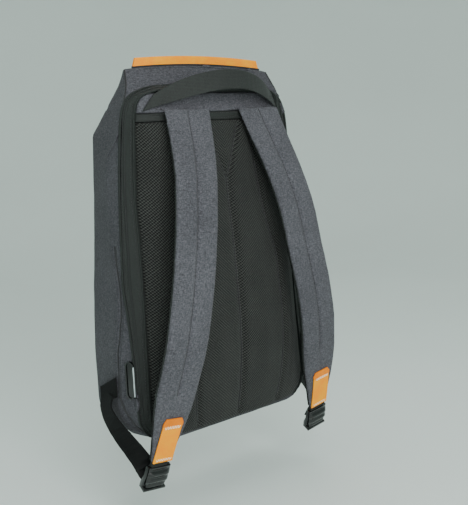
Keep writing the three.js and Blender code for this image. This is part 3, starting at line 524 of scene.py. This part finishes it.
def body_skin():
    """The bag's outer cloth: the CAD skin's outside, subdivided, rippled, sewn and thickened"""
    piece = cad_copy("body_cloth", "body_shell")
    middle = bag(0, 60, 200)
    sheet = bmesh.new()
    sheet.from_mesh(piece.data)
    inner = []
    for face in sheet.faces:
        place = face.calc_center_median()
        outward = face.normal.dot(place - middle)
        height = (place.z - bag_datum.z) / MM
        rim = face.normal.y < -0.9 and abs(place.x) / MM < seam_half(height) + RIM_MARGIN
        if outward < 0 or rim:
            inner.append(face)
    bmesh.ops.delete(sheet, geom=inner, context="FACES")
    sheet.to_mesh(piece.data)
    sheet.free()
    modify(piece, "SUBSURF", subdivision_type="SIMPLE", levels=3, render_levels=3)
    modify(piece, "SMOOTH", factor=0.5, iterations=4)
    ripple(piece, size_mm=110, depth_mm=1.6)
    ripple(piece, size_mm=30, depth_mm=0.8)
    sewn = [side_line(rows, side) for rows in (GUSSET, CORNER_SEAM, FRONT_EDGE) for side in (-1, 1)]
    sew_in(piece, sewn, depth_mm=1.8, reach_mm=3.5)
    modify(piece, "SOLIDIFY", thickness=CLOTH_THICKNESS * MM, offset=-1)
    only(piece)
    bpy.ops.object.shade_smooth()
    return dress(piece, body_cloth)


body = body_skin()

# Each line along the body's seams: its path, what it's made of, its radius and its lift
PIPINGS = (
    ("gusset_piping", GUSSET, dark_thread, 0.9, 0.1),
    ("corner_piping", CORNER_SEAM, dark_thread, 1.3, 0.0),
    ("flap_edge_piping", FLAP_EDGE, dark_thread, 1.0, 0.2),
    ("front_edge_piping", FRONT_EDGE, edge_cloth, 1.1, 0.3),
)
for name, side in SIDES:
    for piping, rows, material, radius, lift in PIPINGS:
        welt(f"{piping}_{name}", body, side_line(rows, side), material, radius, lift)
    for edge, offset in (("behind", 4), ("before", -4)):
        rows = [(x, y + offset, z) for x, y, z in GUSSET]
        stitches(f"gusset_stitching_{edge}_{name}", body, side_line(rows, side),
                 pitch_mm=3.6, length_mm=2.4, radius_mm=0.32)


# ---- Zip band ----

def between(share):
    """Rows of a line that lies a share of the way from the zip's inner edge to its seam"""
    return [tuple(i + (s - i) * share for s, i in zip(*rows)) for rows in zip(SEAM, INNER)]


def both_sides(rows):
    """A path up the left side, over the arch and down the right side"""
    return side_line(rows, -1) + side_line(rows, 1)[::-1]


zip_tape = cad_copy("zip_tape", "zip_band")
modify(zip_tape, "SUBSURF", subdivision_type="SIMPLE", levels=2, render_levels=2)
modify(zip_tape, "SMOOTH", factor=0.5, iterations=3)
smooth_faces(zip_tape, 50)
dress(zip_tape, dark_tape)

welt("zip_outer_piping", None, both_sides(SEAM), dark_tape, radius_mm=1.5)
welt("zip_inner_piping", None, both_sides(INNER), dark_tape, radius_mm=1.3)
for name, share in (("outer", 0.68), ("inner", 0.6)):
    welt(f"zip_lip_{name}", zip_tape, both_sides(between(share)), dark_tape,
         radius_mm=0.7, lift_mm=0.1)
welt("zip_meeting_line", zip_tape, both_sides(between(0.64)), dark_thread,
     radius_mm=0.5, lift_mm=0.15)
for name, share in (("outer", 0.86), ("inner", 0.2)):
    stitches(f"zip_stitching_{name}", zip_tape, both_sides(between(share)),
             pitch_mm=3.6, length_mm=2.4, radius_mm=0.3)
hard_piece("zip_slider_body", "zip_slider", black_plastic, bevel_mm=0.8)

# ---- Back: mesh, binding and yoke ----

# The pad's sewn lines, from the top down: half width and height
PAD_TOP, V_FOOT, PAD_FOOT = 376, 312, 12
CHANNEL = [
    (43, PAD_TOP), (50, 310), (58, 250), (71, 207), (73, 167), (75, 105), (71.5, 36), (67, PAD_FOOT),
]
VEE = [(27, PAD_TOP), (1, V_FOOT)]
OUTSIDE = -90  # depth well outside the back, from where a line is laid onto the mesh

back_pad = soft_piece("back_mesh_pad", "back_panel", back_mesh, voxel_mm=1.8, rounds=24,
                      swell=(35, 0.8))
pad_lines = [[bag(side * x, OUTSIDE, z) for x, z in rows] for rows in (CHANNEL, VEE) for side in (-1, 1)]
pad_lines.append([bag(0, OUTSIDE, z) for z in range(V_FOOT, PAD_FOOT - 1, -50)])
sew_in(back_pad, pad_lines, depth_mm=3.2, reach_mm=3.6, toward=INWARD)
# Dark thread along each sewn line: partly the seam itself, partly painted shade in the groove beside the
# raised pads
for i, line in enumerate(pad_lines):
    welt(f"pad_seam_{i}", back_pad, line, dark_thread, radius_mm=0.8, lift_mm=0.1,
         toward=INWARD)

YOKE_SEAM_HEIGHT = 397  # where the straps' tops are sewn to the yoke
BINDING_HALF_WIDTH = 110
binding = soft_piece("mesh_binding_tape", "mesh_binding", handle_webbing, voxel_mm=1.4, rounds=6)
yoke = soft_piece("yoke_cloth", "yoke_panel", strap_cloth, voxel_mm=1.6, rounds=8,
                  swell=(30, 0.8))
strap_tops = [[bag(side * x, -6, YOKE_SEAM_HEIGHT) for x in (20, 40, 60, 80, 95)] for _, side in SIDES]
sew_in(yoke, strap_tops, depth_mm=1.4, reach_mm=2.4)
for (name, _), line in zip(SIDES, strap_tops):
    stitches(f"yoke_stitching_{name}", yoke, line, pitch_mm=3.2, length_mm=2.4, radius_mm=0.35)
for name, height in (("low", 383), ("high", 389.5)):
    line = [bag(x, -2, height) for x in range(-BINDING_HALF_WIDTH, BINDING_HALF_WIDTH + 1, 11)]
    stitches(f"binding_stitching_{name}", binding, line, pitch_mm=3.2, length_mm=2.2,
             radius_mm=0.3)

# ---- Leather strip and handle ----

RIDGE_HEIGHT, RIDGE_CROWN, RIDGE_HALF_WIDTH = 444.3, 5.5, 113
PIPING_HALF_WIDTH = 102
HANDLE_HALF_SPAN, HANDLE_HEIGHT = 102, 403
HANDLE_LEAN = 0.6  # how far the handle's sewn ends lean inwards, to each millimetre of height

hard_piece("leather_strip", "top_trim", tan_leather, bevel_mm=0.5)
handle = soft_piece("handle_webbing", "grab_handle", handle_webbing, voxel_mm=0.8, rounds=8)
ridge = [bag(x, RIDGE_SETBACK - 1, RIDGE_HEIGHT + RIDGE_CROWN * (1 - (x / RIDGE_HALF_WIDTH) ** 2))
         for x in range(-PIPING_HALF_WIDTH, PIPING_HALF_WIDTH + 1, 17)]
welt("ridge_piping", None, ridge, dark_thread, radius_mm=1.5)
for name, side in SIDES:
    for row, inset in (("end", 2.5), ("second", 9)):
        line = [bag(side * (HANDLE_HALF_SPAN - inset - up * HANDLE_LEAN), -6, HANDLE_HEIGHT + up)
                for up in (-9, -3, 3, 9)]
        stitches(f"handle_stitching_{row}_{name}", handle, line, pitch_mm=2.8, length_mm=2.0,
                 radius_mm=0.3)

# ---- Shoulder straps ----

STRAP_WIDTH = 60
TAB_LENGTH = 54

# The strap's middle line from its top to its tip: half spread, depth and height
STRAP = [
    (57, -4, 392), (61, -14, 371), (66, -27, 342), (72, -35, 315), (82, -45, 268), (91, -49, 218),
    (102, -51, 165), (112, -48, 115), (121, -39, 69), (125.6, -33, 41), (130, -26, 18), (134, -18, -8),
]

# The frame of the right strap's tip: its middle, and directions across, down and out of its face
TIP_MIDDLE = (135, -13.3, -11.4)
TIP_ACROSS = (0.988, -0.046, 0.147)
TIP_DOWN = (0.155, 0.295, -0.943)
TIP_OUT = (0, -0.954, -0.298)

# The zigzag that holds the tab: half the height of its points and how far apart they lie
ZIGZAG_HALF_HEIGHT, ZIGZAG_STEP = 1.4, 1.9

# The buckle's ridged face, down from the strap's tip. Its foot narrows over the last quarter.
GRIP_TOP, GRIP_HEIGHT, GRIP_HALF_WIDTH = 6.5, 26, 15.6
GRIP_LIFT, GRIP_BULGE, GRIP_RIDGE, GRIP_RIDGES = 2.6, 3.4, 1.1, 3
GRIP_SWELL, GRIP_EDGE_DROP = 0.8, 0.8
GRIP_TAPER, TAPER_START = 2.0, 0.75
GRIP_THICKNESS = 2.2


def strap_line(side, share, lift):
    """Points down a strap's face at a share of its half width"""
    return side_line([(x + share * STRAP_WIDTH / 2, y - lift, z) for x, y, z in STRAP], side)


def mirrored(values, side):
    """A place or direction of the right strap, or of the left one for side -1"""
    x, y, z = values
    return Vector((side * x, y, z))


def tip_point(side, across_mm, down_mm, out_mm):
    """A point in a strap tip's own frame"""
    return bag(*(mirrored(TIP_MIDDLE, side) + mirrored(TIP_ACROSS, side) * side * across_mm
                 + mirrored(TIP_DOWN, side) * down_mm + Vector(TIP_OUT) * out_mm))


def fold_down(tab, side):
    """The tab's doubled top edge: a little prouder and in the darker leather"""
    fold = tip_point(side, 0, -TAB_LENGTH + 5.5, 0)
    down = (tip_point(side, 0, 1, 0) - tip_point(side, 0, 0, 0)).normalized()
    tab.data.materials.append(folded_leather)
    normals = [vertex.normal.copy() for vertex in tab.data.vertices]
    for vertex, normal in zip(tab.data.vertices, normals):
        if (vertex.co - fold).dot(down) < 0:
            vertex.co += normal * 0.5 * MM
    for face in tab.data.polygons:
        if (face.center - fold).dot(down) < 0:
            face.material_index = 1


def grip(name, side):
    """The buckle's thick ridged face, from a grid bent over its bars"""
    bpy.ops.object.select_all(action="DESELECT")
    bpy.ops.mesh.primitive_grid_add(x_subdivisions=12, y_subdivisions=48, size=1)
    piece = bpy.context.view_layer.objects.active
    piece.name = name
    for vertex in piece.data.vertices:
        edge = abs(vertex.co.x) * 2
        down = vertex.co.y + 0.5
        ridges = GRIP_RIDGE * math.cos(2 * GRIP_RIDGES * math.pi * down)
        bulge = GRIP_BULGE * math.sin(math.pi * down) + ridges
        out = GRIP_LIFT + (bulge + GRIP_SWELL) * (1 - edge ** 6 * GRIP_EDGE_DROP)
        half = GRIP_HALF_WIDTH - GRIP_TAPER * max(0.0, down - TAPER_START) / (1 - TAPER_START)
        vertex.co = tip_point(side, vertex.co.x * 2 * half, GRIP_TOP + GRIP_HEIGHT * down, out)
    only(piece)
    bpy.ops.object.mode_set(mode="EDIT")
    bpy.ops.mesh.select_all(action="SELECT")
    bpy.ops.mesh.normals_make_consistent(inside=False)
    bpy.ops.object.mode_set(mode="OBJECT")
    modify(piece, "SOLIDIFY", thickness=GRIP_THICKNESS * MM, offset=0)
    smooth_faces(piece, 50)
    return dress(piece, black_plastic)


for name, side in SIDES:
    seam = strap_line(side, share=0, lift=20)[:-3]  # from outside the strap, and ends above the tab
    face = soft_piece(f"strap_face_{name}", f"strap_{name}", strap_cloth, voxel_mm=1.3,
                      rounds=14, swell=(24, 0.5))
    sew_in(face, [seam], depth_mm=1.8, reach_mm=2.4, toward=INWARD)
    lining = soft_piece(f"strap_mesh_{name}", f"strap_lining_{name}", strap_mesh,
                        voxel_mm=1.3, rounds=10)
    for edge, share in (("near", -1), ("far", 1)):
        welt(f"strap_binding_{edge}_{name}", lining, strap_line(side, share, lift=-4)[1:-2], dark_tape,
             radius_mm=1.5, lift_mm=0.4)
    stitches(f"strap_centre_stitching_{name}", face, seam, pitch_mm=3.4, length_mm=2.4,
             radius_mm=0.4, lift_mm=0.2, toward=INWARD)

    tab = soft_piece(f"leather_tab_{name}", f"strap_tab_{name}", tan_leather,
                     voxel_mm=0.6, rounds=3)
    fold_down(tab, side)
    for row, down in (("top", -TAB_LENGTH + 7.5), ("bottom", -4)):
        zigzag = [tip_point(side, i * ZIGZAG_STEP, down + ZIGZAG_HALF_HEIGHT * (1 if i % 2 else -1), 8)
                  for i in range(-6, 7)]
        welt(f"tab_zigzag_{row}_{name}", tab, zigzag, cream_thread, radius_mm=0.46,
             lift_mm=0.2, step_mm=0.7)

    soft_piece(f"buckle_loop_webbing_{name}", f"buckle_loop_{name}", handle_webbing,
               voxel_mm=0.7, rounds=4)
    hard_piece(f"ladder_buckle_{name}", f"ladder_lock_{name}", black_plastic, bevel_mm=0.7)
    grip(f"buckle_grip_{name}", side)
    soft_piece(f"lower_strap_{name}", f"lower_webbing_{name}", lower_webbing, voxel_mm=0.8,
               rounds=6)

# ---- Charging port ----

hard_piece("port_rim", "usb_port_frame", black_plastic, bevel_mm=0.5)
hard_piece("port_lid", "usb_port_cover", black_plastic, bevel_mm=0.4)
# A painted highlight: a pale strip down one side of the port's rim, where light catches the glossy plastic
rim_painted_highlight = [bag(-146, 13.6, height) for height in (62, 72, 81, 90, 100)]
welt("port_rim_painted_highlight", None, rim_painted_highlight, painted_highlight_grey, radius_mm=0.9)

# ---- Camera ----

AZIMUTH, ELEVATION, ROLL = math.radians(-41.41), math.radians(8.46), math.radians(-2.59)
FOCAL_PIXELS, LONG_SIDE_PIXELS, SENSOR_MM = 832.9, 505, 36
DISTANCE_M = 1.103
aim = bag(42.92, 40, 207.28)
backward = Vector((math.sin(AZIMUTH) * math.cos(ELEVATION), -math.cos(AZIMUTH) * math.cos(ELEVATION),
                   math.sin(ELEVATION)))
level = Vector((math.cos(AZIMUTH), math.sin(AZIMUTH), 0))
upright = backward.cross(level)
rightward = math.cos(ROLL) * level + math.sin(ROLL) * upright
upward = math.cos(ROLL) * upright - math.sin(ROLL) * level

lens = bpy.data.cameras.new("camera")
lens.sensor_width = SENSOR_MM
lens.lens = FOCAL_PIXELS * SENSOR_MM / LONG_SIDE_PIXELS
camera = bpy.data.objects.new("camera", lens)
bpy.context.scene.collection.objects.link(camera)
turn = Matrix((rightward, upward, backward)).transposed().to_4x4()
camera.matrix_world = Matrix.Translation(aim + backward * DISTANCE_M) @ turn
bpy.context.scene.camera = camera


# ---- Light and floor, in metres ----

def softbox(name, offset, size, power):
    """A large square area light, placed from the camera's aim and facing it"""
    data = bpy.data.lights.new(name, "AREA")
    data.shape = "SQUARE"
    data.size = size
    data.energy = power
    lamp = bpy.data.objects.new(name, data)
    bpy.context.scene.collection.objects.link(lamp)
    lamp.location = aim + Vector(offset)
    lamp.rotation_mode = "QUATERNION"
    lamp.rotation_quaternion = Vector(offset).to_track_quat("Z", "Y")


softbox("key_light", (-0.7, -1.45, 0.5), size=1.0, power=25)
softbox("top_light", (0, -0.2, 1.9), size=1.6, power=9)

world = bpy.data.worlds.new("studio")
world.use_nodes = True
background = world.node_tree.nodes["Background"]
background.inputs["Color"].default_value = linear("#DCE2E0")
background.inputs["Strength"].default_value = 0.82
bpy.context.scene.world = world

# One seamless sheet of paper: a flat floor that rises far out all round the bag
FLOOR_DROP, FLAT_RADIUS, FLOOR_SIZE, RISE = 0.06, 1.9, 12, 0.36
floor_centre = Vector((bag_datum.x, bag_datum.y, bag(0, 0, -45).z - FLOOR_DROP))
bpy.ops.object.select_all(action="DESELECT")
bpy.ops.mesh.primitive_grid_add(x_subdivisions=60, y_subdivisions=60, size=FLOOR_SIZE)
floor = bpy.context.view_layer.objects.active
floor.name = "floor"
for vertex in floor.data.vertices:
    bend = max(0.0, vertex.co.xy.length - FLAT_RADIUS)
    vertex.co = floor_centre + Vector((vertex.co.x, vertex.co.y, RISE * bend ** 2))
floor.data.materials.append(matt_paper("seamless_paper", "#EAF4F0", "#EEF8F4"))
only(floor)
bpy.ops.object.shade_smooth()
